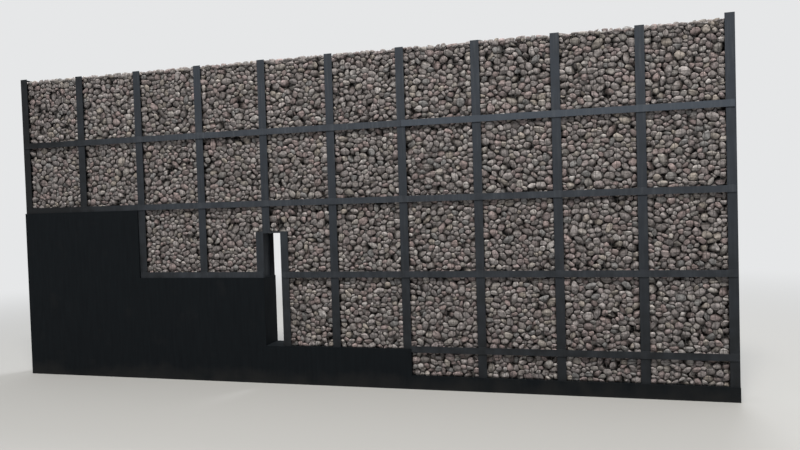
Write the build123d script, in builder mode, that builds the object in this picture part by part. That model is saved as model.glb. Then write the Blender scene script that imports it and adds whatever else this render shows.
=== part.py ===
from build123d import *
import os

# A stone-filled gabion wall of ten bays, with steel posts and rails, wire panels on both
# faces and a black-coated stepped base that follows the falling ground.
# Origin: middle of the wall's length and thickness, at the lowest ground.
# +X runs along the wall to the right as seen from its front face, which looks to -Y. +Z is up.

# Bays and rows
bay = 914.4
bay_count = 10
row = 914.4

# Posts: rolled wide-flange section, one flange on each face of the wall
post_depth = 304.8
flange_width = 101.6
flange_thickness = 6.7
web_thickness = 5.6
root_radius = 7.6
first_post_rise = 24.0
last_post_rise = 48.0

# Rails: flat bars welded across the flanges
rail_height = 76.2
rail_thickness = 9.5
rail_end_inset = 12.0
top_rail_splice_post = 6
splice_gap = 1.5

# Base: black-coated stepped stem wall
base_depth = 350.0
lowest_base_height = 162.0
short_row = 323.0

# Notch that the wall leaves for a cross wall, and the plate that bridges it
notch_left_of_post = 46.0
notch_width = 238.0
notch_below_rail = 381.0
sill_thickness = 20.0

# Wire panels: square-mesh welded wire in two layers behind the flanges
mesh_pitch = 76.2
wire = 3.8
mesh_side_gap = 6.0
visible_uprights = 10
seat = 0.3

# Stone fill
fill_below_post_top = 18.0

os.makedirs("parts", exist_ok=True)


def post_x(number):
    """Centre of a post, counted from 0 at the left end."""
    return (number - bay_count / 2) * bay


# Levels, from the lowest ground up
rail_4 = lowest_base_height + short_row
rail_3 = rail_4 + row
rail_2 = rail_3 + row
rail_1 = rail_2 + row
post_top = rail_1 + row
fill_top = post_top - fill_below_post_top
notch_top = rail_2 - notch_below_rail
sill_top = notch_top + sill_thickness

# Places along the wall
half_flange = flange_width / 2
half_web = web_thickness / 2
wall_left = post_x(0) - half_flange
wall_right = post_x(bay_count) + half_flange
notch_left = post_x(4) - notch_left_of_post
notch_right = notch_left + notch_width
left_jamb = notch_left - half_flange
right_jamb = notch_right + half_flange
sill_left = notch_left - flange_width
sill_right = notch_right + flange_width

# Steps of the base: name, left end, right end, top
high_step = rail_2 - rail_height / 2
middle_step = rail_3 - rail_height / 2
step_ends = [post_x(2) - half_flange, notch_left, post_x(6) + half_flange]
base_steps = [
    ("base_bays_1_2", wall_left, step_ends[0], high_step),
    ("base_bays_3_4", step_ends[0], step_ends[1], middle_step),
    ("base_bays_5_6", step_ends[1], step_ends[2], rail_4),
    ("base_bays_7_9", step_ends[2], post_x(9), lowest_base_height),
    ("base_bay_10", post_x(9), wall_right, lowest_base_height),
]
step_tops = [high_step, high_step, middle_step, middle_step, rail_4, rail_4]
step_tops += [lowest_base_height] * (bay_count - len(step_tops))


def write(piece, name):
    """Label a finished piece and write it under its own name."""
    piece.part.label = name
    export_step(piece.part, f"parts/{name}.step")


# Base
for name, left, right, top in base_steps:
    with BuildPart() as base:
        with BuildSketch(Plane.XY):
            with Locations(((left + right) / 2, 0)):
                Rectangle(right - left, base_depth)
        extrude(amount=top)
    write(base, name)

# Post section, shared by the posts and the two jambs of the notch
recess_width = (flange_width - web_thickness) / 2
with BuildSketch() as section:
    Rectangle(flange_width, post_depth)
    with GridLocations(recess_width + web_thickness, 0, 2, 1):
        Rectangle(recess_width, post_depth - 2 * flange_thickness, mode=Mode.SUBTRACT)
    roots = [v for v in section.vertices() if abs(v.X) < half_flange / 2]
    fillet(roots, root_radius)


def upright(x, foot, head):
    """A length of the post section standing at x between two levels."""
    with BuildPart() as piece:
        with BuildSketch(Plane((x, 0, foot))):
            add(section.sketch)
        extrude(amount=head - foot)
    return piece


# Posts
post_feet = [high_step, high_step, middle_step, middle_step, sill_top, rail_4, rail_4]
post_feet += [lowest_base_height] * (bay_count + 1 - len(post_feet))
post_rise = {0: first_post_rise, bay_count: last_post_rise}
for number, foot in enumerate(post_feet):
    head = post_top + post_rise.get(number, 0)
    write(upright(post_x(number), foot, head), f"post_{number + 1}")

# Jambs and sill of the notch
write(upright(left_jamb, middle_step, notch_top), "notch_jamb_left")
write(upright(right_jamb, rail_4, notch_top), "notch_jamb_right")
with BuildPart() as sill:
    with BuildSketch(Plane.XY.offset(notch_top)):
        with Locations(((sill_left + sill_right) / 2, 0)):
            Rectangle(sill_right - sill_left, post_depth)
    extrude(amount=sill_thickness)
write(sill, "notch_sill")

# Rails: a bar on each face, spliced over a post at the top and cut where the notch breaks them
full_run = (wall_left + rail_end_inset, wall_right - rail_end_inset)
splice = post_x(top_rail_splice_post)
rail_runs = [
    ("rail_1", rail_1, [
        (full_run[0], splice - splice_gap / 2),
        (splice + splice_gap / 2, full_run[1]),
    ]),
    ("rail_2", rail_2, [full_run]),
    ("rail_3", rail_3, [
        (step_ends[0] + rail_end_inset, notch_left - rail_end_inset),
        (notch_right + rail_end_inset, full_run[1]),
    ]),
    ("rail_4", rail_4, [(step_ends[2], full_run[1])]),
]
for name, level, runs in rail_runs:
    with BuildPart() as rail:
        with BuildSketch(Plane.XZ.offset(post_depth / 2)):
            for start, end in runs:
                with Locations(((start + end) / 2, level)):
                    Rectangle(end - start, rail_height)
        extrude(amount=rail_thickness)
        mirror(about=Plane.XZ)
    write(rail, name)


def bands(number):
    """Rectangles that make up a bay's filling, lowest first: (bottom, top, left, right)."""
    left = post_x(number) + half_web + seat
    right = post_x(number + 1) - half_web - seat
    floor = step_tops[number]
    if number == 3:
        jamb_side = left_jamb - half_web - seat
        return [
            (floor, notch_top, left, jamb_side),
            (notch_top, sill_top, left, sill_left - seat),
            (sill_top, fill_top, left, right),
        ]
    if number == 4:
        jamb_side = right_jamb + half_web + seat
        return [
            (floor, notch_top, jamb_side, right),
            (notch_top, sill_top, sill_right + seat, right),
            (sill_top, fill_top, left, right),
        ]
    if number == 6:
        return [
            (floor, rail_4, step_ends[2], right),
            (rail_4, fill_top, left, right),
        ]
    return [(floor, fill_top, left, right)]


# Wire panels, in two layers: uprights against the flanges, cross wires behind them
flange_inside = post_depth / 2 - flange_thickness
upright_layer = flange_inside - seat - wire / 2
cross_layer = upright_layer - wire - seat
fill_depth = 2 * (cross_layer - wire / 2 - seat)


def upright_groups(number):
    """Upright wires of a bay, as places along the wall grouped by their bottom level."""
    centre = post_x(number) + bay / 2
    groups = {}
    for index in range(visible_uprights):
        x = centre + (index - (visible_uprights - 1) / 2) * mesh_pitch
        bottom = fill_top
        for low, high, left, right in reversed(bands(number)):
            if not left + wire < x < right - wire:
                break
            bottom = low
        groups.setdefault(bottom + seat, []).append(x)
    return groups


def cross_levels(low, high):
    """Levels of the cross wires between two heights, apart from those hidden by a rail."""
    first = int((low + wire - rail_4) // mesh_pitch) + 1
    last = int((high - wire - rail_4) // mesh_pitch)
    levels = [rail_4 + index * mesh_pitch for index in range(first, last + 1)]
    rails = (rail_1, rail_2, rail_3, rail_4)
    return [z for z in levels if all(abs(z - rail_z) > rail_height / 2 for rail_z in rails)]


for number in range(bay_count):
    with BuildPart() as mesh:
        for bottom, places in upright_groups(number).items():
            with BuildSketch(Plane.XY.offset(bottom)):
                with Locations(*[(x, side * upright_layer) for x in places for side in (-1, 1)]):
                    Rectangle(wire, wire)
            extrude(amount=fill_top - bottom)
        for low, high, left, right in bands(number):
            levels = cross_levels(low, high)
            if levels:
                with BuildSketch(Plane.YZ.offset(left + mesh_side_gap)):
                    with Locations(*[(side * cross_layer, z) for z in levels for side in (-1, 1)]):
                        Rectangle(wire, wire)
                extrude(amount=right - left - 2 * mesh_side_gap)
    write(mesh, f"mesh_bay_{number + 1}")

# Stone fill, one mass to each bay
for number in range(bay_count):
    with BuildPart() as fill:
        with BuildSketch(Plane.XZ):
            for low, high, left, right in bands(number):
                with Locations(((left + right) / 2, (low + high) / 2)):
                    Rectangle(right - left, high - low)
        extrude(amount=fill_depth / 2, both=True)
    write(fill, f"stone_fill_bay_{number + 1}")
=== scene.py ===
"""Dresses the stone-filled gabion wall: cobbles, welded wire, painted steel and black-coated base.

The solid model gives every place and size in metres: +X runs along the wall, -Y is the face that
the camera sees, and Z = 0 is the lowest ground. Sizes that a maker would quote are in millimetres.
"""

import logging
import math
from dataclasses import dataclass, field, replace
from enum import Enum, IntEnum
from functools import partial
from typing import Callable, Iterable, Optional, Sequence

import bmesh
import bpy
import numpy as np
from bpy.types import Material, Node, NodeSocket, NodeTree, Object, World
from mathutils import Matrix, Vector

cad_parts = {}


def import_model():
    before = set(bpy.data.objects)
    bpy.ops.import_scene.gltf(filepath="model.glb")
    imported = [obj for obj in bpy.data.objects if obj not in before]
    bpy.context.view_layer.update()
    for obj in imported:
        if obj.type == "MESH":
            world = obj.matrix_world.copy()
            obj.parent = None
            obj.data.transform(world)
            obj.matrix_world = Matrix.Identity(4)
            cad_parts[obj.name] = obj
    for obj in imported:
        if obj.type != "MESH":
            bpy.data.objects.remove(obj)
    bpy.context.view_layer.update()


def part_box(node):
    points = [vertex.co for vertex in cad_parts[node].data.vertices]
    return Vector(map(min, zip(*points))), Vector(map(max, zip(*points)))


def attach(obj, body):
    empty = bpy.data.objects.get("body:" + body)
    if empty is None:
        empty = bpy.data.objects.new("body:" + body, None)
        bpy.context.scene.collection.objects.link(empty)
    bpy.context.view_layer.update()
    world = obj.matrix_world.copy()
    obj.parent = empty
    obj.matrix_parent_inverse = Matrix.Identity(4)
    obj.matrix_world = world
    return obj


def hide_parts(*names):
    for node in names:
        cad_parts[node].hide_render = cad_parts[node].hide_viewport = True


MM = 0.001
FIRST_SEED = 1000
BOX_TRIANGLES = 12
# Farther apart than any two cobbles of an opening, so that none is its own neighbour.
FAR_M = 9.0
MID_COLOUR = (0.5, 0.5, 0.5)
ROOT = "root"
LOG = logging.getLogger("gabion_wall")

Array = np.ndarray
Pair = tuple[float, float]
Place = tuple[float, float, float]
Colour = tuple[float, float, float, float]
Stops = Sequence[tuple[float, str]]
# A noise is given by the size of its features in millimetres and by its detail.
Noise = tuple[float, float]
# A span carries one range over to another: from low, from high, to low, to high.
Span = tuple[float, float, float, float]


def linear(hex_colour: str) -> Colour:
    """Turns an sRGB hex colour into the linear values that a shader takes.

    Args:
        hex_colour: Six hex digits after a hash, such as "#8C8177".

    Returns:
        Linear red, green and blue with full alpha.
    """
    parts = [int(hex_colour[i:i + 2], 16) / 255 for i in (1, 3, 5)]
    curve = [c / 12.92 if c <= 0.04045 else ((c + 0.055) / 1.055) ** 2.4 for c in parts]
    return (curve[0], curve[1], curve[2], 1.0)


def per_metre(size_mm: float) -> float:
    """Gives the texture scale whose features are about size_mm across."""
    return 1.0 / (size_mm * MM)


def feed(node: Node, inputs: dict) -> None:
    """Sets and links the inputs of a node.

    Args:
        node: Node to feed.
        inputs: Value, node or output socket for each input, by its name or number. A node
            stands for its first output in use.
    """
    for name, value in inputs.items():
        if isinstance(value, Node):
            value = next(output for output in value.outputs if output.enabled)
        if isinstance(value, NodeSocket):
            node.id_data.links.new(value, node.inputs[name])
        else:
            node.inputs[name].default_value = value


def add_node(
    tree: NodeTree, kind: str, inputs: dict | Sequence = (), stops: Stops = (),
    **settings: object,
) -> Node:
    """Adds one shader node with its settings, values and links.

    Args:
        tree: Node tree that gets the node.
        kind: Blender's name for the node type, after "ShaderNode".
        inputs: What feeds its inputs, as for feed, or a plain row for the first ones.
        stops: Place and hex colour of each stop, where the node holds a colour ramp.
        **settings: Properties of the node itself.

    Returns:
        The new node.
    """
    node = tree.nodes.new(f"ShaderNode{kind}")
    for name, value in settings.items():
        setattr(node, name, value)
    feed(node, inputs if isinstance(inputs, dict) else dict(enumerate(inputs)))
    if stops:
        ramp = node.color_ramp
        while len(ramp.elements) < len(stops):
            ramp.elements.new(0.5)
        for element, (place, colour) in zip(ramp.elements, stops):
            element.position = place
            element.color = linear(colour)
    return node


def lay_coats(add: Callable[..., Node], ground: str, coats: Iterable[tuple[Node, str]]) -> Node:
    """Lays coats of colour over each other, each as thick as its own pattern says.

    Args:
        add: Adds a node to the material.
        ground: Hex colour under the coats.
        coats: Share and hex colour of each coat, lowest first.

    Returns:
        The node with the finished colour.
    """
    colour = linear(ground)
    for share, coat in coats:
        colour = add("Mix", {0: share, 6: colour, 7: linear(coat)}, data_type="RGBA")
    return colour


class Slot(Enum):
    """Material slots of the record."""

    FRAME_STEEL = "frame_steel"
    MESH_WIRE = "mesh_wire"
    COBBLES = "cobbles"
    BASE_COATING = "base_coating"


class Side(IntEnum):
    """Faces of the wall, by their direction along Y."""

    FRONT = -1
    BACK = 1


@dataclass(frozen=True)
class Finish:
    """A surface finish that builds its own material."""

    name: str

    def start(self) -> tuple[Material, Callable[..., Node], Node]:
        """Makes an empty node material.

        Returns:
            The material, the function that adds nodes to it, and its main shader.
        """
        material = bpy.data.materials.new(self.name)
        material.use_nodes = True
        tree = material.node_tree
        return material, partial(add_node, tree), tree.nodes["Principled BSDF"]

    def build(self) -> Material:
        """Makes the material; each finish has its own."""
        raise NotImplementedError


@dataclass(frozen=True)
class RiverCobble(Finish):
    """River-worn granite and quartzite cobbles.

    Tumbling in water leaves them matt and smooth, with a fine grain that only mottles the colour,
    and each stone has a tone of its own between grey, taupe, tan and dull pink.
    """

    name: str = "river_cobble"
    tones: Stops = (
        (0.00, "#847E7D"), (0.11, "#9C9593"), (0.22, "#8D8683"), (0.33, "#A8A19F"),
        (0.44, "#87807E"), (0.55, "#9F8F8C"), (0.66, "#948887"), (0.77, "#B1ACA9"),
        (0.88, "#9F968D"), (0.96, "#898786"),
    )
    gap_shadow: Stops = (
        (0.00, "#0C0B0A"), (0.44, "#1A1817"), (0.64, "#A8A5A3"), (0.80, "#FFFFFF"),
    )
    pattern_shift_m: Place = (31.0, 17.0, 23.0)
    mottle: Noise = (26.0, 4.0)
    mottle_span: Span = (0.3, 0.7, 0.72, 1.24)
    # Real grains are 1 to 3 mm across, too fine to show, so they are drawn this coarse.
    grain: Noise = (14.0, 3.0)
    grain_span: Span = (0.3, 0.7, 0.78, 1.2)
    # Painted light: faces that point up are painted lighter and faces that point down darker.
    painted_top_light_span: Span = (-0.6, 0.8, 0.72, 1.3)
    facet_mm: float = 34.0
    facet_share: float = 0.75
    facet_wander_mm: float = 14.0
    lump_depth_mm: float = 3.0
    lump_strength: float = 0.9
    grain_depth_mm: float = 0.6
    grain_strength: float = 0.6
    roughness: float = 0.8
    specular: float = 0.25

    def build(self) -> Material:
        """Makes the cobble material from each stone's seed and depth values.

        Returns:
            The material.
        """
        material, add, shader = self.start()
        seed, shade, rise = (
            add("Attribute", attribute_name=f"cobble_{value}")
            for value in ("seed", "shade", "rise")
        )
        place = add("TexCoord").outputs["Object"]
        shift = add(
            "VectorMath", (seed.outputs["Vector"], self.pattern_shift_m), operation="MULTIPLY"
        )
        own = add("VectorMath", (place, shift), operation="ADD")
        mottle, grain = (
            add("TexNoise", {"Vector": own, "Scale": per_metre(size), "Detail": detail})
            for size, detail in (self.mottle, self.grain)
        )
        # Painted top light: faces that point up are lightened, those that point down darkened.
        upward = add("SeparateXYZ", (add("NewGeometry").outputs["Normal"],)).outputs["Z"]
        light, *others = (
            add("MapRange", (value, *span))
            for value, span in (
                (mottle, self.mottle_span), (grain, self.grain_span), (upward, self.painted_top_light_span),
            )
        )
        # The shade value carries painted shade for recessed stones, deep stones and the core.
        for other in (*others, shade.outputs["Fac"]):
            light = add("Math", (light, other), operation="MULTIPLY")
        tone, shadow = (
            add("ValToRGB", (value.outputs["Fac"],), stops)
            for value, stops in ((seed, self.tones), (rise, self.gap_shadow))
        )
        colour = add("VectorMath", {0: tone, "Scale": light}, operation="SCALE")
        relief = self.facets(add, own, mottle.outputs["Color"])
        for height, strength, depth in (
            (mottle, self.lump_strength, self.lump_depth_mm),
            (grain, self.grain_strength, self.grain_depth_mm),
        ):
            bump = {"Height": height, "Strength": strength, "Distance": depth * MM}
            relief = add("Bump", {**bump, "Normal": relief})
        feed(shader, {
            "Base Color": add("VectorMath", (colour, shadow), operation="MULTIPLY"),
            "Normal": relief, "Roughness": self.roughness, "Specular IOR Level": self.specular,
        })
        return material

    def facets(self, add: Callable[..., Node], place: Node, noise: NodeSocket) -> Node:
        """Tilts patches of the surface, as where flakes broke off before the water wore them.

        Args:
            add: Adds a node to the material.
            place: Node with the places on each stone.
            noise: Socket with a noise that lets the edges of the patches wander.

        Returns:
            The node with the tilted normal.
        """
        reach = (self.facet_wander_mm * MM,) * 3
        wander = add("VectorMath", (noise, reach, place), operation="MULTIPLY_ADD")
        cells = add("TexVoronoi", {"Vector": wander, "Scale": per_metre(self.facet_mm)})
        tile, colour = cells.outputs["Position"], cells.outputs["Color"]
        off = add("VectorMath", (wander, tile), operation="SUBTRACT")
        lean = add("VectorMath", (colour, MID_COLOUR), operation="SUBTRACT")
        height = add("VectorMath", (off, lean), operation="DOT_PRODUCT")
        return add("Bump", {"Height": height, "Strength": self.facet_share, "Distance": 1.0})


@dataclass(frozen=True)
class CharcoalEnamel(Finish):
    """Brushed-on charcoal enamel over hot-rolled steel.

    It dries to a dull satin. Mill texture, brush marks and site dust give it a faint unevenness,
    and rain leaves paler upright streaks. Painted shade darkens it toward the ground, and it is
    darker too toward the high end of the coated base.
    """

    name: str = "charcoal_enamel"
    body: str = "#33383F"
    dusty: str = "#4D5155"
    worn: str = "#2F3338"
    past_splice: str = "#454C55"
    grime: str = "#17191B"
    patches: Noise = (160.0, 5.0)
    worn_span: Span = (0.42, 0.68, 0.0, 0.6)
    streaks: Noise = (22.0, 3.0)
    streak_stretch: float = 0.05
    streak_span: Span = (0.5, 0.78, 0.0, 0.55)
    # Painted shade toward the ground.
    painted_shade_up_m: Span = (3.5, 0.2, 0.0, 0.9)
    darkening_along_m: Span = (-2.1, -4.6, 0.0, 0.95)
    shade_and_darkening_breaks: Span = (0.3, 0.7, 0.8, 1.15)
    # Real brush marks are 1 to 2 mm apart, too fine to show, so they are drawn this coarse.
    peel: Noise = (9.0, 3.0)
    peel_depth_mm: float = 0.4
    peel_strength: float = 0.5
    rough_span: Span = (0.0, 1.0, 0.55, 0.75)
    specular: float = 0.22
    splice_at: Optional[float] = None
    splice_share: float = 0.75

    def build(self) -> Material:
        """Makes the enamel with worn patches, streaks, dust and grime.

        Returns:
            The material.
        """
        material, add, shader = self.start()
        place = add("TexCoord").outputs["Object"]
        axes = add("SeparateXYZ", (place,))
        squeeze = add("Mapping", {"Vector": place, "Scale": (1.0, 1.0, self.streak_stretch)})
        patches, streaks, peel = (
            add("TexNoise", {"Vector": at, "Scale": per_metre(size), "Detail": detail})
            for at, (size, detail) in (
                (place, self.patches), (squeeze, self.streaks), (place, self.peel),
            )
        )
        worn, dusty, rough, rise, end, breaks = (
            add("MapRange", (value, *span))
            for value, span in (
                (patches, self.worn_span), (streaks, self.streak_span),
                (patches, self.rough_span), (axes.outputs["Z"], self.painted_shade_up_m),
                (axes.outputs["X"], self.darkening_along_m), (patches, self.shade_and_darkening_breaks),
            )
        )
        # Painted shade darkens the steel toward the ground; it is also darker toward the left end.
        both = add("Math", (rise, end), operation="ADD")
        grime = add("Math", (both, breaks), operation="MULTIPLY", use_clamp=True)
        coats = [(worn, self.worn), (dusty, self.dusty), (grime, self.grime)]
        if self.splice_at is not None:
            # The bar past the splice has the tone of another tin of enamel.
            past = add("Math", (axes.outputs["X"], self.splice_at), operation="GREATER_THAN")
            share = add("Math", (past, self.splice_share), operation="MULTIPLY")
            coats.insert(1, (share, self.past_splice))
        depth = self.peel_depth_mm * MM
        feed(shader, {
            "Base Color": lay_coats(add, self.body, coats), "Roughness": rough,
            "Normal": add(
                "Bump", {"Height": peel, "Strength": self.peel_strength, "Distance": depth}
            ),
            "Specular IOR Level": self.specular,
        })
        return material


@dataclass(frozen=True)
class OxidisedZincWithPaintedShade(Finish):
    """Galvanised steel wire whose zinc has weathered to a dull dark grey.

    Part of that darkness is painted shade, for the wires that lie in shade.
    """

    name: str = "oxidised_zinc"
    # Painted shade: the body is darker than weathered zinc alone, as the wires lie in shade.
    body: str = "#363534"
    rusty: str = "#3F3229"
    patches: Noise = (60.0, 4.0)
    rust_span: Span = (0.5, 0.7, 0.0, 1.0)
    metallic: float = 0.35
    roughness: float = 0.6

    def build(self) -> Material:
        """Makes the wire's material, with a little brown where the zinc is spent.

        Returns:
            The material.
        """
        material, add, shader = self.start()
        place = add("TexCoord").outputs["Object"]
        size, detail = self.patches
        patches = add("TexNoise", {"Vector": place, "Scale": per_metre(size), "Detail": detail})
        spent = add("MapRange", (patches, *self.rust_span))
        feed(shader, {
            "Base Color": lay_coats(add, self.body, [(spent, self.rusty)]),
            "Metallic": self.metallic, "Roughness": self.roughness,
        })
        return material


@dataclass(frozen=True)
class BitumenCoat(Finish):
    """Concrete brushed with black bitumen against damp.

    The brush leaves upright marks and a dull gloss, and rain splashes soil-coloured dust up from
    the ground.
    """

    name: str = "bitumen_coat"
    body: str = "#0E1114"
    faded: str = "#181C1F"
    soil: str = "#252525"
    # Real brush marks are 2 to 5 mm apart, too fine to show, so they are drawn this coarse.
    brush: Noise = (30.0, 4.0)
    brush_stretch: float = 0.08
    brush_depth_mm: float = 1.5
    brush_strength: float = 0.5
    patches: Noise = (240.0, 6.0)
    splash_height_mm: float = 260.0
    splash_share: float = 0.5
    soil_span: Span = (0.62, 1.05, 0.0, 0.75)
    rough_span: Span = (0.0, 1.0, 0.6, 0.85)
    specular: float = 0.06

    def build(self) -> Material:
        """Makes the black coating with brush marks, fading and splashed soil.

        Returns:
            The material.
        """
        material, add, shader = self.start()
        place = add("TexCoord").outputs["Object"]
        height = add("SeparateXYZ", (place,)).outputs["Z"]
        squeeze = add("Mapping", {"Vector": place, "Scale": (1.0, 1.0, self.brush_stretch)})
        brush, patches = (
            add("TexNoise", {"Vector": at, "Scale": per_metre(size), "Detail": detail})
            for at, (size, detail) in ((squeeze, self.brush), (place, self.patches))
        )
        low = add("MapRange", (height, 0.0, self.splash_height_mm * MM, self.splash_share, 0.0))
        splash = add("Math", (low, patches), operation="ADD")
        soiled = add("MapRange", (splash, *self.soil_span))
        coats = [(brush, self.faded), (soiled, self.soil)]
        depth = self.brush_depth_mm * MM
        feed(shader, {
            "Base Color": lay_coats(add, self.body, coats),
            "Roughness": add("MapRange", (patches, *self.rough_span)),
            "Normal": add(
                "Bump", {"Height": brush, "Strength": self.brush_strength, "Distance": depth}
            ),
            "Specular IOR Level": self.specular,
        })
        return material


@dataclass(frozen=True)
class Finishes:
    """The materials that the wall is dressed in, built once."""

    cobble: Material
    enamel: Material
    bar_enamel: Material
    spliced_enamel: Material
    wire: Material
    bitumen: Material

    @classmethod
    def build(cls, splice_at: float) -> "Finishes":
        """Builds every finish.

        Args:
            splice_at: Place of the top rail's splice along the wall.

        Returns:
            The materials.
        """
        bars = CharcoalEnamel("charcoal_enamel_bars", "#3D4249", "#55595E", "#32363C")
        spliced = replace(bars, name="charcoal_enamel_spliced_bar", splice_at=splice_at)
        finishes = (RiverCobble(), CharcoalEnamel(), bars, spliced, OxidisedZincWithPaintedShade(), BitumenCoat())
        return cls(*(finish.build() for finish in finishes))


@dataclass
class Shell:
    """Collects the points and faces of many small parts that become one piece."""

    points: list[Array] = field(default_factory=list)
    faces: list[Array] = field(default_factory=list)
    count: int = 0

    def add(self, points: Array, faces: Array) -> None:
        """Adds parts.

        Args:
            points: Points, one row each, in metres.
            faces: Corner numbers of each face, counted from the first of these points.
        """
        self.points.append(points)
        self.faces.append(faces + self.count)
        self.count += len(points)

    def join(self, name: str, material: Material) -> Object:
        """Joins the parts into one smoothly shaded piece.

        Args:
            name: Name of the piece.
            material: What it is made of.

        Returns:
            The piece, linked to the scene.
        """
        points, faces = np.concatenate(self.points), np.concatenate(self.faces)
        starts = np.arange(len(faces)) * faces.shape[1]
        mesh = bpy.data.meshes.new(name)
        mesh.vertices.add(len(points))
        mesh.vertices.foreach_set("co", points.astype(np.float32).ravel())
        mesh.loops.add(faces.size)
        mesh.loops.foreach_set("vertex_index", faces.astype(np.int32).ravel())
        mesh.polygons.add(len(faces))
        mesh.polygons.foreach_set("loop_start", starts.astype(np.int32))
        mesh.update(calc_edges=True)
        mesh.validate()
        mesh.materials.append(material)
        piece = bpy.data.objects.new(name, mesh)
        bpy.context.scene.collection.objects.link(piece)
        return piece


@dataclass(frozen=True)
class Opening:
    """A framed stretch of stones: edges in metres, its walls, and a corner that is left out."""

    left: float
    right: float
    bottom: float
    top: float
    floor: float
    wall_gap: float
    cut_side: int = 0
    cut_edge: float = 0.0
    cut_top: float = 0.0

    def area(self, margin: float) -> float:
        """Gives the area that stones fill.

        Args:
            margin: How far past the left and right edges they lie.

        Returns:
            Area in square metres.
        """
        whole = (self.right - self.left + 2 * margin) * (self.top - self.bottom)
        if not self.cut_side:
            return whole
        outer = self.right if self.cut_side > 0 else self.left
        return whole - abs(outer - self.cut_edge) * (min(self.cut_top, self.top) - self.bottom)

    def clear_of_cut(self, x: Array, z: Array, margin: Array | float) -> tuple:
        """Moves points out of the corner that is left out, by the shorter way.

        Args:
            x: Places along the wall.
            z: Heights.
            margin: Distance that the points keep from the corner.

        Returns:
            The moved places and heights.
        """
        if not self.cut_side:
            return x, z
        into_x = (x - self.cut_edge) * self.cut_side + margin
        into_z = self.cut_top - z
        inside = (into_x > 0) & (into_z > 0)
        sideways = inside & (into_x < into_z)
        x = np.where(sideways, x - self.cut_side * into_x, x)
        return x, np.where(inside & ~sideways, z + into_z, z)

    def hold(self, x: Array, z: Array) -> tuple:
        """Keeps points of stones between the webs of the posts, above the floor and the cut.

        Args:
            x: Places along the wall.
            z: Heights.

        Returns:
            The moved places and heights.
        """
        x = np.clip(x, self.left - self.wall_gap, self.right + self.wall_gap)
        return self.clear_of_cut(x, np.maximum(z, self.floor), -self.wall_gap)


@dataclass
class WallGrid:
    """Places of the wall's posts, rails, steps and openings, read from the solid model."""

    post_count: int = 11
    rail_count: int = 4
    notch_bays: tuple[int, int] = (3, 4)
    gap_mm: float = 1.0

    def __post_init__(self) -> None:
        """Reads the boxes of the steel and of the fill."""
        self.posts = [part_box(f"post_{n + 1}") for n in range(self.post_count)]
        self.rails = [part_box(f"rail_{n + 1}") for n in range(self.rail_count)]
        self.fills = [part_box(f"stone_fill_bay_{n + 1}") for n in range(self.post_count - 1)]
        self.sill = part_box("notch_sill")
        self.fill_top = self.fills[0][1].z
        self.half_fill = self.fills[0][1].y
        # The two bars of the spliced rail have four ends, and the splice lies between the
        # second and the third.
        rail = bpy.data.objects["rail_1"].data
        ends = sorted({round(vertex.co.x, 4) for vertex in rail.vertices})
        self.splice = (ends[1] + ends[2]) / 2

    def openings(self, bay: int) -> list[Opening]:
        """Lists the openings of one bay, from its floor to the top.

        Args:
            bay: Bay number, from 0 at the left.

        Returns:
            One opening for each row of the bay.
        """
        gap = self.gap_mm * MM
        left, right = self.posts[bay][1].x, self.posts[bay + 1][0].x
        floor = self.fills[bay][0].z + gap
        wall_gap = left - self.fills[bay][0].x - gap
        half_rail = (self.rails[0][1].z - self.rails[0][0].z) / 2
        levels = sorted((low.z + high.z) / 2 for low, high in self.rails)
        edges = [z for z in levels if z > floor + half_rail / 2] + [self.fill_top]
        if edges[0] - floor > 2 * half_rail:
            edges = [floor] + edges
        found = []
        for bottom, top in zip(edges[:-1], edges[1:]):
            opening = Opening(left, right, bottom, top, floor, wall_gap)
            if bay in self.notch_bays and bottom < self.sill[0].z:
                end = self.notch_bays.index(bay)
                opening = replace(
                    opening, cut_side=1 - 2 * end, cut_edge=self.sill[end].x,
                    cut_top=self.sill[1].z + gap,
                )
            found.append(opening)
        return found


@dataclass
class Layout:
    """Where the cobbles of one opening lie: places, half-lengths and turns in its plane."""

    x: Array
    z: Array
    long: Array
    short: Array
    turn: Array

    def half_towards(self, angle: Array) -> Array:
        """Gives each cobble's half-width in a direction, mid-way between reach and radius.

        Args:
            angle: Directions, one row for each cobble.

        Returns:
            Half-widths in metres.
        """
        off = angle - self.turn[:, None]
        cos, sin = np.cos(off), np.sin(off)
        long, short = self.long[:, None], self.short[:, None]
        reach = np.sqrt((long * cos) ** 2 + (short * sin) ** 2)
        radius = 1 / np.sqrt((cos / long) ** 2 + (sin / short) ** 2)
        return (reach + radius) / 2


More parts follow.
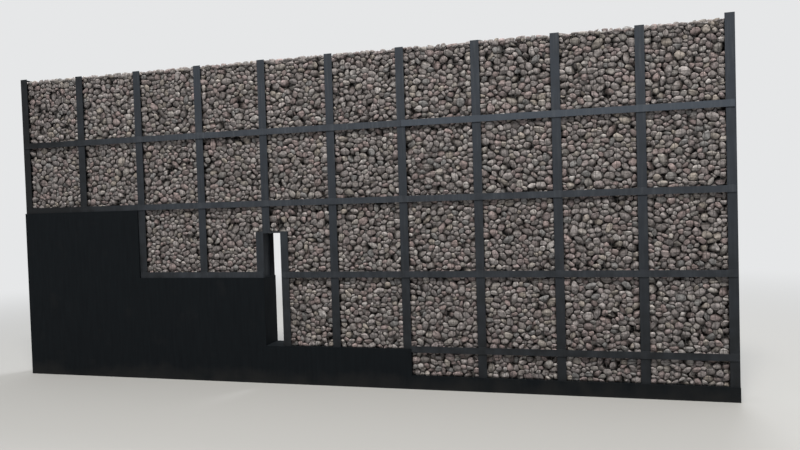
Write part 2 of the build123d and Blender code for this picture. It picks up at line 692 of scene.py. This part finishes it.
@dataclass(frozen=True)
class CobbleSizes:
    """Size range of the cobbles, in millimetres, and how closely they lie."""

    mean: float = 76.0
    spread: float = 0.24
    smallest: float = 44.0
    largest: float = 130.0
    flattest: float = 0.46
    roundest: float = 0.93
    cover: float = 1.11
    spare: float = 1.6
    least: int = 4
    turn_spread: float = 0.6
    contact: float = 0.98
    rounds: int = 90
    push: float = 0.6
    from_edge: float = 0.55
    from_side: float = 1.3
    behind_frame: float = 24.0
    clear_of_frame: float = 4.0
    passing_frame: float = 0.22
    neighbours: int = 9
    joint: float = 6.0
    swell: float = 1.28
    overlap: float = 10.0

    def draw(self, area: float, rng: np.random.Generator) -> tuple[Array, Array]:
        """Draws cobbles until they cover a given area.

        Args:
            area: Area to cover, in square metres.
            rng: Source of random numbers.

        Returns:
            Half-lengths along the long and the short axis, in metres.
        """
        count = int(area * self.spare / (math.pi * (self.mean * MM / 2) ** 2)) + self.least
        across = self.mean * MM * np.exp(rng.normal(0, self.spread, count))
        across = np.clip(across, self.smallest * MM, self.largest * MM)
        ratio = rng.uniform(self.flattest, self.roundest, count)
        long, short = across / 2 / np.sqrt(ratio), across / 2 * np.sqrt(ratio)
        keep = np.cumsum(math.pi * long * short) < area * self.cover
        return long[keep], short[keep]

    def settle(self, opening: Opening, rng: np.random.Generator, margin: float) -> Layout:
        """Packs an opening with cobbles by letting them push each other apart.

        Args:
            opening: The opening to fill.
            rng: Source of random numbers.
            margin: How far past the left and right edges the cobbles may lie.

        Returns:
            The cobbles at rest.
        """
        left, right = opening.left - margin, opening.right + margin
        bottom, top = opening.bottom, opening.top
        long, short = self.draw(opening.area(margin), rng)
        count = len(long)
        layout = Layout(
            rng.uniform(left, right, count), rng.uniform(bottom, top, count), long, short,
            rng.normal(0, self.turn_spread, count),
        )
        keep = short * self.from_edge
        weight = long * short
        push_share = weight[None, :] / (weight[:, None] + weight[None, :])
        for _ in range(self.rounds):
            dx = layout.x[:, None] - layout.x[None, :]
            dz = layout.z[:, None] - layout.z[None, :]
            gap = np.sqrt(dx * dx + dz * dz) + 1e-9
            half = layout.half_towards(np.arctan2(dz, dx))
            overlap = np.clip((half + half.T) * self.contact - gap, 0, None)
            np.fill_diagonal(overlap, 0)
            step = overlap * push_share / gap * self.push
            x, z = layout.x + (dx * step).sum(axis=1), layout.z + (dz * step).sum(axis=1)
            x = np.clip(x, left + self.from_side * keep, right - self.from_side * keep)
            z = np.clip(z, bottom + keep, top - keep)
            layout.x, layout.z = opening.clear_of_cut(x, z, keep - margin)
        return layout

    def joints(self, layout: Layout, rank: Array) -> tuple[Array, Array]:
        """Finds the joint lines between each cobble and its nearest neighbours.

        A cobble that stands in front laps over the joint, as it hides a neighbour farther back.

        Args:
            layout: The cobbles at rest.
            rank: How far back each cobble sits, from 0 to 1.

        Returns:
            Direction to each neighbour and distance of the joint line from the cobble's middle.
        """
        dx = layout.x[None, :] - layout.x[:, None]
        dz = layout.z[None, :] - layout.z[:, None]
        gap = np.sqrt(dx * dx + dz * dz)
        np.fill_diagonal(gap, FAR_M)
        half = layout.half_towards(np.arctan2(dz, dx))
        limit = gap * half / (half + half.T) - self.joint * MM / 2
        limit = limit + np.clip(rank[None, :] - rank[:, None], 0, None) * self.overlap * MM
        order = np.argsort(limit, axis=1)[:, :self.neighbours]
        rows = np.arange(len(rank))[:, None]
        way = np.stack((dx[rows, order], dz[rows, order]), axis=2) / gap[rows, order][:, :, None]
        return way, limit[rows, order]


class Ball(Enum):
    """Rings of points from which a stone is cut: angle from its front, and number of points."""

    DEEP = ((0, 1), (63, 5), (117, 5), (180, 1))
    OUTER = ((0, 1), (40, 6), (66, 11), (94, 11), (180, 1))


def unit_ball(cut: Ball) -> tuple[Array, Array]:
    """Makes the points and triangles of a ball of radius 1 whose front is towards +Z.

    Args:
        cut: Rings from which it is cut.

    Returns:
        Points and triangles.
    """
    form = bmesh.new()
    for ring, (polar, count) in enumerate(cut.value):
        out, flat = math.cos(math.radians(polar)), math.sin(math.radians(polar))
        for step in range(count):
            angle = math.tau * (step + 0.5 * (ring % 2)) / count
            form.verts.new((flat * math.cos(angle), flat * math.sin(angle), out))
    bmesh.ops.convex_hull(form, input=form.verts)
    form.verts.index_update()
    form.normal_update()
    points = np.array([v.co[:] for v in form.verts])
    triangles = np.array([[v.index for v in f.verts] for f in form.faces])
    form.free()
    return points, triangles


def turned(first: Array, second: Array, angle: Array) -> tuple:
    """Turns points in the plane of two axes.

    Args:
        first: Places along the first axis.
        second: Places along the second axis.
        angle: Turn from the first axis to the second.

    Returns:
        The new places along both axes.
    """
    cos, sin = np.cos(angle), np.sin(angle)
    return first * cos - second * sin, first * sin + second * cos


@dataclass
class StoneHeap(Shell):
    """The stones of one bay and the way in which they are cut."""

    seed: int = 0
    values: dict[str, list[Array]] = field(default_factory=dict)
    squareness: Pair = (2.2, 3.4)
    lumps: int = 2
    lump_size: Pair = (-0.2, 0.12)
    facets: int = 6
    facet_flatness: float = 0.6
    facet_at: Pair = (0.54, 0.96)
    facet_cut: float = 0.9
    front_fullness: float = 0.68

    def __post_init__(self) -> None:
        """Starts the heap's own random numbers."""
        self.rng = np.random.default_rng(self.seed)

    def carve(self, halves: Array, turn: Array, tilt: float, cut: Ball) -> tuple:
        """Cuts stones with lumpy, faceted and rounded forms of their own.

        Args:
            halves: Half-lengths along, across and out of the plane in which the stones lie.
            turn: Turn of each stone in that plane.
            tilt: Spread of the tilt out of that plane, in radians.
            cut: How finely the stones are cut.

        Returns:
            Offsets along, across and out of the plane, and the triangles of one stone.
        """
        ball, triangles = unit_ball(cut)
        each = (len(halves), 1, 1)
        form = np.repeat(ball[None], len(halves), axis=0)
        power = self.rng.uniform(*self.squareness, each)
        form = form / (np.abs(form) ** power).sum(axis=2, keepdims=True) ** (1 / power)
        for _ in range(self.lumps):
            way = self.ways(len(halves), 1.0)
            side = (ball[None] * way).sum(axis=2, keepdims=True)
            size = self.rng.uniform(*self.lump_size, each)
            form = form * (1 + size * np.clip(side, 0, 1) ** 2)
        for _ in range(self.facets):
            way = self.ways(len(halves), self.facet_flatness)
            limit = self.rng.uniform(*self.facet_at, each)
            side = (form * way).sum(axis=2, keepdims=True)
            form = form - np.clip(side - limit, 0, None) * way * self.facet_cut
        form[:, :, 2] = np.sign(form[:, :, 2]) * np.abs(form[:, :, 2]) ** self.front_fullness
        along, across, out = np.moveaxis(form * halves[:, None, :], 2, 0)
        lean = self.rng.normal(0, tilt, (2, len(halves), 1))
        along, out = turned(along, out, lean[0])
        across, out = turned(across, out, lean[1])
        return *turned(along, across, turn[:, None]), out, triangles

    def ways(self, number: int, flatness: float) -> Array:
        """Draws random directions, closer to the plane of the stones for a low flatness."""
        way = self.rng.normal(size=(number, 1, 3)) * (1, 1, flatness)
        return way / np.linalg.norm(way, axis=2, keepdims=True)

    def push(self, stones: Array, triangles: Array, shade: Array, rise: Array) -> None:
        """Stores finished stones.

        Args:
            stones: Points of each stone.
            triangles: Triangles that all these stones share.
            shade: Darkening of each stone.
            rise: How far each point stands out of the joints, from 0 to 1.
        """
        number, size = stones.shape[:2]
        start = np.arange(number)[:, None, None] * size
        self.add(stones.reshape(-1, 3), (triangles[None] + start).reshape(-1, 3))
        seed = np.repeat(self.rng.uniform(0, 1, number), size)
        new = {"seed": seed, "shade": np.repeat(shade, size), "rise": rise.ravel()}
        for label, value in new.items():
            self.values.setdefault(label, []).append(value)

    def join(self, name: str, material: Material) -> Object:
        """Joins the stones into one piece with their colour values.

        Args:
            name: Name of the piece.
            material: What the stones are made of.

        Returns:
            The piece.
        """
        piece = super().join(name, material)
        for label, parts in self.values.items():
            layer = piece.data.attributes.new(f"cobble_{label}", "FLOAT", "POINT")
            layer.data.foreach_set("value", np.concatenate(parts).astype(np.float32))
        return piece


@dataclass
class CobbleBay:
    """The cobbles of one bay: both faces, the heaped top and the stones behind them.

    The stones behind them, and the core, are darkened with painted shade.
    """

    bay: int
    grid: WallGrid
    finishes: Finishes
    sizes: CobbleSizes = CobbleSizes()
    depth_ratio: float = 0.64
    depth_mm: Pair = (17.0, 38.0)
    depth_spread: Pair = (0.85, 1.15)
    tilt: float = 0.12
    squeeze: float = 0.92
    recess_mm: float = 19.0
    recess_curve: float = 1.4
    # Painted shade on the stones that sit farther back.
    recess_shade: float = 0.22
    shade_range: Pair = (0.79, 1.04)
    rim_depth_mm: float = 34.0
    deep_spacing_mm: float = 92.0
    deep_row_ratio: float = 0.87
    deep_scatter: float = 0.12
    deep_form: Place = (1.0, 0.82, 0.7)
    deep_radius: float = 0.62
    deep_radius_spread: Pair = (0.88, 1.12)
    deep_tilt: float = 0.2
    deep_inset_mm: float = 60.0
    # Painted shade on the stones that show between the outer ones.
    deep_shade: float = 0.34
    deep_shade_spread: Pair = (0.6, 1.3)
    core_share: float = 0.42
    # Painted shade: the heart of the fill is darker still than the deep stones.
    core_shade: float = 0.5
    core_below_top_mm: float = 58.0
    heap_mm: float = 16.0
    heap_limit: float = 1.5
    heap_drop: float = 1.8

    def __post_init__(self) -> None:
        """Starts an empty heap with a seed of the bay's own."""
        self.heap = StoneHeap(seed=FIRST_SEED + self.bay)
        self.rng = self.heap.rng

    def build(self) -> Object:
        """Builds and dresses the bay's cobbles.

        Returns:
            The finished piece.
        """
        for side in Side:
            for opening in self.grid.openings(self.bay):
                self.face_stones(opening, side)
                self.deep_stones(opening, side)
        self.top_stones()
        self.core()
        piece = self.heap.join(f"cobbles_bay_{self.bay + 1}", self.finishes.cobble)
        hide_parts(f"stone_fill_bay_{self.bay + 1}")
        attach(piece, ROOT)
        return piece

    def face_stones(self, opening: Opening, side: Side) -> None:
        """Packs one opening with the stones that lean on the wire.

        Args:
            opening: Opening to fill.
            side: Face of the wall.
        """
        clear = self.sizes.clear_of_frame * MM
        layout = self.sizes.settle(opening, self.rng, -clear)
        rank = self.rng.uniform(0, 1, len(layout.x))
        front = self.grid.half_fill - rank**self.recess_curve * self.recess_mm * MM
        x, z, out, triangles = self.fitted(layout, front, rank)
        inside = self.rng.uniform(0, 1, (len(rank), 1)) > self.sizes.passing_frame
        x = np.where(inside, np.clip(x, opening.left + clear, opening.right - clear), x)
        x, z = opening.hold(x, z)
        z = np.minimum(z, self.grid.fill_top + self.heap_mm * MM * self.heap_limit)
        below_top = np.clip(self.grid.fill_top - z, 0, None)
        rise = self.rise(np.minimum(front[:, None] - out, below_top))
        stones = np.stack((x, side * out, z), axis=2)
        self.heap.push(stones, triangles[:, ::-side], self.shades(rank), rise)

    def fitted(self, layout: Layout, front: Array, rank: Array) -> tuple:
        """Carves the stones of a layout and fits each one to its neighbours.

        Args:
            layout: Where they lie.
            front: How far out each stone's front reaches.
            rank: How far back each stone sits, from 0 to 1.

        Returns:
            Places along and across the plane, distances out of it, and one stone's triangles.
        """
        least, most = self.depth_mm
        depth = np.clip(layout.short * self.depth_ratio, least * MM, most * MM)
        depth = depth * self.rng.uniform(*self.depth_spread, len(rank))
        swell = self.sizes.swell
        halves = np.stack((layout.long * swell, layout.short * swell, depth), axis=1)
        along, across, out, triangles = self.heap.carve(
            halves, layout.turn, self.tilt, Ball.OUTER
        )
        ways, limits = self.sizes.joints(layout, rank)
        for near in range(limits.shape[1]):
            way, limit = ways[:, near, None, :], limits[:, near, None]
            over = along * way[:, :, 0] + across * way[:, :, 1] - limit
            over = np.clip(over, 0, None) * self.squeeze
            along = along - over * way[:, :, 0]
            across = across - over * way[:, :, 1]
        out = out - out.max(axis=1, keepdims=True) + front[:, None]
        return along + layout.x[:, None], across + layout.z[:, None], out, triangles

    def rise(self, depth: Array) -> Array:
        """Tells how far points stand out of the joints, from 0 to 1, by their depth."""
        return np.clip(1 - depth / (self.rim_depth_mm * MM), 0, 1)

    def shades(self, rank: Array) -> Array:
        """Draws how light each stone is, with painted shade on those that sit farther back."""
        return (1 - self.recess_shade * rank) * self.rng.uniform(*self.shade_range, len(rank))

    def deep_stones(self, opening: Opening, side: Side) -> None:
        """Lays the stones in painted shade that show in the gaps between the outer ones.

        Args:
            opening: Opening behind which they lie.
            side: Face of the wall.
        """
        pitch = self.deep_spacing_mm * MM
        columns = np.arange(opening.left, opening.right + pitch / 2, pitch)
        rows = np.arange(
            opening.bottom + pitch / 2, opening.top - pitch / 4, pitch * self.deep_row_ratio
        )
        x, z = np.meshgrid(columns, rows)
        x = x + (np.arange(len(rows)) % 2)[:, None] * pitch / 2
        x, z = (v.ravel() + self.rng.normal(0, pitch * self.deep_scatter, v.size) for v in (x, z))
        spread = self.rng.uniform(*self.deep_radius_spread, len(x))
        radius = pitch * self.deep_radius * spread
        x, z = opening.clear_of_cut(x, z, 0.0)
        z = np.minimum(z, self.grid.fill_top - radius)
        turn = self.rng.uniform(0, math.pi, len(x))
        halves = radius[:, None] * self.deep_form
        along, across, out, triangles = self.heap.carve(halves, turn, self.deep_tilt, Ball.DEEP)
        along, across = opening.hold(along + x[:, None], across + z[:, None])
        out = side * (out + self.grid.half_fill - self.deep_inset_mm * MM)
        stones = np.stack((along, out, across), axis=2)
        # Painted shade: these stones lie in the shade behind the outer ones.
        shade = self.deep_shade * self.rng.uniform(*self.deep_shade_spread, len(x))
        self.heap.push(stones, triangles[:, ::-side], shade, np.ones(stones.shape[:2]))

    def top_stones(self) -> None:
        """Heaps the uppermost stones, which nothing covers."""
        low, high = self.grid.fills[self.bay]
        inset = self.sizes.behind_frame * MM
        half = self.grid.half_fill
        wall_gap = inset - self.grid.gap_mm * MM
        bed = Opening(low.x + inset, high.x - inset, -half, half, -half, wall_gap)
        layout = self.sizes.settle(bed, self.rng, inset)
        rank = self.rng.uniform(0, 1, len(layout.x))
        front = self.grid.fill_top + (1 - self.heap_drop * rank) * self.heap_mm * MM
        x, y, z, triangles = self.fitted(layout, front, rank)
        x, y = bed.hold(x, y)
        y = np.minimum(y, half)
        rise = self.rise(np.minimum(half - np.abs(y), front[:, None] - z))
        self.heap.push(np.stack((x, y, z), axis=2), triangles, self.shades(rank), rise)

    def core(self) -> None:
        """Adds the heart of the fill, which closes the view between the stones.

        It is a box darkened with painted shade.
        """
        solid = bpy.data.objects[f"stone_fill_bay_{self.bay + 1}"].data
        points = np.array([v.co[:] for v in solid.vertices])
        points[:, 1] *= self.core_share
        high = points[:, 2] > self.grid.fill_top - self.grid.gap_mm * MM
        points[high, 2] -= self.core_below_top_mm * MM
        solid.calc_loop_triangles()
        triangles = np.array([t.vertices[:] for t in solid.loop_triangles])
        shade = np.array([self.deep_shade * self.core_shade])
        self.heap.push(points[None], triangles, shade, np.ones((1, len(points))))


@dataclass
class WirePanels:
    """The welded-wire panels of one bay, front and back, as round wire."""

    bay: int
    finishes: Finishes
    sides: int = 6

    def build(self) -> Object:
        """Builds and dresses the bay's wire.

        Returns:
            The finished piece.
        """
        node = bpy.data.objects[f"mesh_bay_{self.bay + 1}"]
        panels = Shell()
        node.data.calc_loop_triangles()
        places = np.array([v.co[:] for v in node.data.vertices])
        corners = np.array([t.vertices[:] for t in node.data.loop_triangles])
        for wire in places[corners].reshape(-1, 3 * BOX_TRIANGLES, 3):
            panels.add(*self.rod(wire.min(axis=0), wire.max(axis=0)))
        piece = panels.join(f"wire_panels_bay_{self.bay + 1}", self.finishes.wire)
        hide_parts(node.name)
        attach(piece, ROOT)
        return piece

    def rod(self, low: Array, high: Array) -> tuple[Array, Array]:
        """Makes one round wire that fills a long thin box.

        Args:
            low: Lowest corner.
            high: Highest corner.

        Returns:
            Points and four-cornered faces, with the ends closed.
        """
        run = int(np.argmax(high - low))
        first, second = [axis for axis in range(3) if axis != run]
        radius = (high - low)[first] / 2
        middle = (low + high) / 2
        n = self.sides
        angle = np.arange(n) * math.tau / n
        points = np.zeros((2 * n, 3))
        points[:, run] = np.repeat((low[run], high[run]), n)
        points[:, first] = middle[first] + radius * np.tile(np.cos(angle), 2)
        points[:, second] = middle[second] + radius * np.tile(np.sin(angle), 2)
        quads = [(i, (i + 1) % n, n + (i + 1) % n, n + i) for i in range(n)]
        for base in (0, n):
            quads += [(base, base + i, base + i + 1, base + i + 2) for i in range(1, n - 2, 2)]
        return points, np.array(quads)


def dress(name: str, material: Material) -> Object:
    """Puts one material on every slot of a solid that stays as it is.

    Args:
        name: Name of the solid.
        material: What it is made of.

    Returns:
        The solid.
    """
    node = bpy.data.objects[name]
    if not node.material_slots:
        node.data.materials.append(material)
    for slot in node.material_slots:
        slot.material = material
    return node


@dataclass
class SteelFrame:
    """Posts, jambs, sill and rails, with the weld beads that join them.

    Each weld has four rows of points along it, set out in shares of the weld's size.
    """

    grid: WallGrid
    finishes: Finishes
    notch_steel: tuple[str, ...] = ("notch_jamb_left", "notch_jamb_right", "notch_sill")
    leg_mm: float = 7.0
    leg_rows: tuple[Pair, ...] = (
        (-0.15, -0.15), (1.0, -0.15), (0.62, 0.62), (-0.15, 1.0),
    )
    seam_mm: float = 11.0
    seam_rows: tuple[Pair, ...] = (
        (-1.0, -0.4), (1.0, -0.4), (0.5, 0.25), (-0.5, 0.25),
    )
    ripple_mm: float = 9.0
    ripple_share: float = 0.12
    fewest_ripples: int = 4

    def build(self) -> list[Object]:
        """Dresses the steel and adds its welds.

        Returns:
            The steel and the weld pieces.
        """
        posts = [f"post_{n + 1}" for n in range(self.grid.post_count)]
        pieces = [dress(name, self.finishes.enamel) for name in (*posts, *self.notch_steel)]
        for number in range(self.grid.rail_count):
            enamel = self.finishes.bar_enamel if number else self.finishes.spliced_enamel
            pieces += [dress(f"rail_{number + 1}", enamel), self.rail_welds(number)]
        return pieces

    def rail_welds(self, number: int) -> Object:
        """Lays beads above and below one rail at every post, and closes the top rail's splice.

        Args:
            number: Rail number, from 0 at the top.

        Returns:
            The beads of that rail as one piece.
        """
        low, high = self.grid.rails[number]
        welds = Shell()
        for post_low, post_high in self.grid.posts:
            if post_high.x < low.x or post_low.z > low.z:
                continue
            start, end = max(post_low.x, low.x), min(post_high.x, high.x)
            x, leg = self.ripples(start, end, self.leg_mm)
            for side in Side:
                for edge, way in ((low.z, -1), (high.z, 1)):
                    rows = [
                        (x, side * post_high.y + side * leg * out, edge + way * leg * up)
                        for out, up in self.leg_rows
                    ]
                    welds.add(*self.closed(rows, side * way > 0))
        if number == 0:
            z, half = self.ripples(low.z, high.z, self.seam_mm / 2)
            for side in Side:
                rows = [
                    (self.grid.splice + half * across, side * (high.y + half * out), z)
                    for across, out in self.seam_rows
                ]
                welds.add(*self.closed(rows, side > 0))
        piece = welds.join(f"welds_rail_{number + 1}", self.finishes.enamel)
        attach(piece, ROOT)
        return piece

    def ripples(self, start: float, end: float, size_mm: float) -> tuple[Array, Array]:
        """Sets out the ripples of a weld.

        Args:
            start: Where it starts.
            end: Where it ends.
            size_mm: Its size.

        Returns:
            The stations along the weld and its size at each, in metres.
        """
        steps = max(self.fewest_ripples, int((end - start) / (self.ripple_mm * MM)))
        ripple = 1 + self.ripple_share * np.cos(np.arange(steps + 1) * math.pi)
        return np.linspace(start, end, steps + 1), size_mm * MM * ripple

    def closed(self, rows: Sequence[tuple], flip: bool) -> tuple[Array, Array]:
        """Joins four rows of points into a closed weld.

        Args:
            rows: Places of each row along X, Y and Z.
            flip: Whether the corners run the other way round.

        Returns:
            Points and four-cornered faces.
        """
        points = [np.stack(row, axis=1) for row in rows]
        width = len(points[0])
        here = np.arange(4)[:, None] * width + np.arange(width - 1)
        there = np.roll(here, -1, axis=0)
        sides = np.stack((here, here + 1, there + 1, there), axis=2).reshape(-1, 4)
        first = np.arange(4)[None] * width
        quads = np.concatenate((sides, first, first[:, ::-1] + width - 1))
        return np.concatenate(points), quads if flip else quads[:, ::-1]


@dataclass
class BaseWall:
    """The black-coated stem wall, in steps."""

    finishes: Finishes
    names: tuple[str, ...] = (
        "base_bays_1_2", "base_bays_3_4", "base_bays_5_6", "base_bays_7_9", "base_bay_10",
    )

    def build(self) -> list[Object]:
        """Dresses each length of the base, whose solid stays."""
        return [dress(name, self.finishes.bitumen) for name in self.names]


@dataclass(frozen=True)
class Lamp:
    """A square area lamp that faces the wall."""

    name: str
    at: Place
    size: float
    watts: float
    colour: str
    target: Place = (0.0, 0.0, 2.0)

    def hang(self) -> None:
        """Adds the lamp to the scene."""
        data = bpy.data.lights.new(self.name, "AREA")
        data.shape = "SQUARE"
        data.size = self.size
        data.energy = self.watts
        data.color = linear(self.colour)[:3]
        lamp = bpy.data.objects.new(self.name, data)
        aim = (Vector(self.target) - Vector(self.at)).to_track_quat("-Z", "Y")
        lamp.matrix_world = Matrix.Translation(Vector(self.at)) @ aim.to_matrix().to_4x4()
        bpy.context.scene.collection.objects.link(lamp)


@dataclass
class Studio:
    """Floor, backdrop and camera, with a broad lamp high in front and a weaker one behind."""

    camera_at: Place = (3.074, -8.279, 2.246)
    turn_left_deg: float = 15.205
    tip_up_deg: float = -1.673
    roll_deg: float = -1.726
    lens_mm: float = 31.22
    sensor_mm: float = 36.0
    sight: float = 200.0
    floor_size: float = 160.0
    floor_colour: str = "#B0AFAC"
    floor_roughness: float = 0.95
    floor_specular: float = 0.1
    fade: Pair = (5.5, 17.0)
    backdrop_colour: str = "#E6E7E8"
    sky_colour: str = "#F4F7FB"
    sky_span: Span = (0.0, 1.0, 0.16, 1.15)
    lamps: tuple[Lamp, ...] = (
        Lamp("key", (3.0, -10.0, 19.0), 5.0, 3400.0, "#FFFBF5"),
        Lamp("rear", (5.0, 11.0, 18.0), 6.0, 1800.0, "#F6F9FF"),
    )

    def build(self) -> None:
        """Builds the whole studio."""
        scene = bpy.context.scene
        scene.view_settings.view_transform = "Standard"
        self.floor()
        scene.world = self.sky()
        for lamp in self.lamps:
            lamp.hang()
        scene.camera = self.camera()

    def camera(self) -> Object:
        """Places the camera where the wall was seen from.

        Returns:
            The camera.
        """
        data = bpy.data.cameras.new("view")
        data.lens = self.lens_mm
        data.sensor_width = self.sensor_mm
        data.clip_end = self.sight
        matrix = Matrix.Translation(Vector(self.camera_at))
        for degrees, axis in (
            (self.turn_left_deg, "Z"), (90 + self.tip_up_deg, "X"), (self.roll_deg, "Z"),
        ):
            matrix = matrix @ Matrix.Rotation(math.radians(degrees), 4, axis)
        camera = bpy.data.objects.new("view", data)
        camera.matrix_world = matrix
        bpy.context.scene.collection.objects.link(camera)
        return camera

    def floor(self) -> None:
        """Lays the pale floor, which fades into the backdrop."""
        material, add, shader = Finish("pale_floor").start()
        feed(shader, {
            "Base Color": linear(self.floor_colour), "Roughness": self.floor_roughness,
            "Specular IOR Level": self.floor_specular,
        })
        away = add("VectorMath", (add("TexCoord").outputs["Object"],), operation="LENGTH")
        fade = add("MapRange", (away, *self.fade), interpolation_type="SMOOTHSTEP")
        plain = add("Emission", (linear(self.backdrop_colour), 1.0))
        mixed = add("MixShader", (fade, shader, plain))
        feed(material.node_tree.nodes["Material Output"], {"Surface": mixed})
        half = self.floor_size / 2
        corners = [(-half, -half, 0.0), (half, -half, 0.0), (half, half, 0.0), (-half, half, 0.0)]
        sheet = Shell()
        sheet.add(np.array(corners), np.array([(0, 1, 2, 3)]))
        floor = sheet.join("floor", material)

    def sky(self) -> World:
        """Sets an even pale surround that looks white where the camera sees it.

        Returns:
            The world.
        """
        world = bpy.data.worlds.new("surround")
        world.use_nodes = True
        world.node_tree.nodes.clear()
        add = partial(add_node, world.node_tree)
        height = add("SeparateXYZ", (add("TexCoord").outputs["Generated"],)).outputs["Z"]
        strength = add("MapRange", (height, *self.sky_span))
        lit, plain = (
            add("Background", (linear(colour), light))
            for colour, light in ((self.sky_colour, strength), (self.backdrop_colour, 1.0))
        )
        seen = add("LightPath").outputs["Is Camera Ray"]
        add("OutputWorld", {"Surface": add("MixShader", (seen, lit, plain))})
        return world


def main() -> None:
    """Builds the wall's looks and reports each piece."""
    logging.basicConfig(level=logging.INFO, format="%(name)s %(message)s")
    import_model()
    grid = WallGrid()
    finishes = Finishes.build(grid.splice)
    pieces = BaseWall(finishes).build() + SteelFrame(grid, finishes).build()
    for bay in range(grid.post_count - 1):
        pieces += [WirePanels(bay, finishes).build(), CobbleBay(bay, grid, finishes).build()]
    Studio().build()
    for piece in pieces:
        LOG.info("%s: %d faces", piece.name, len(piece.data.polygons))


if __name__ == "__main__":
    main()
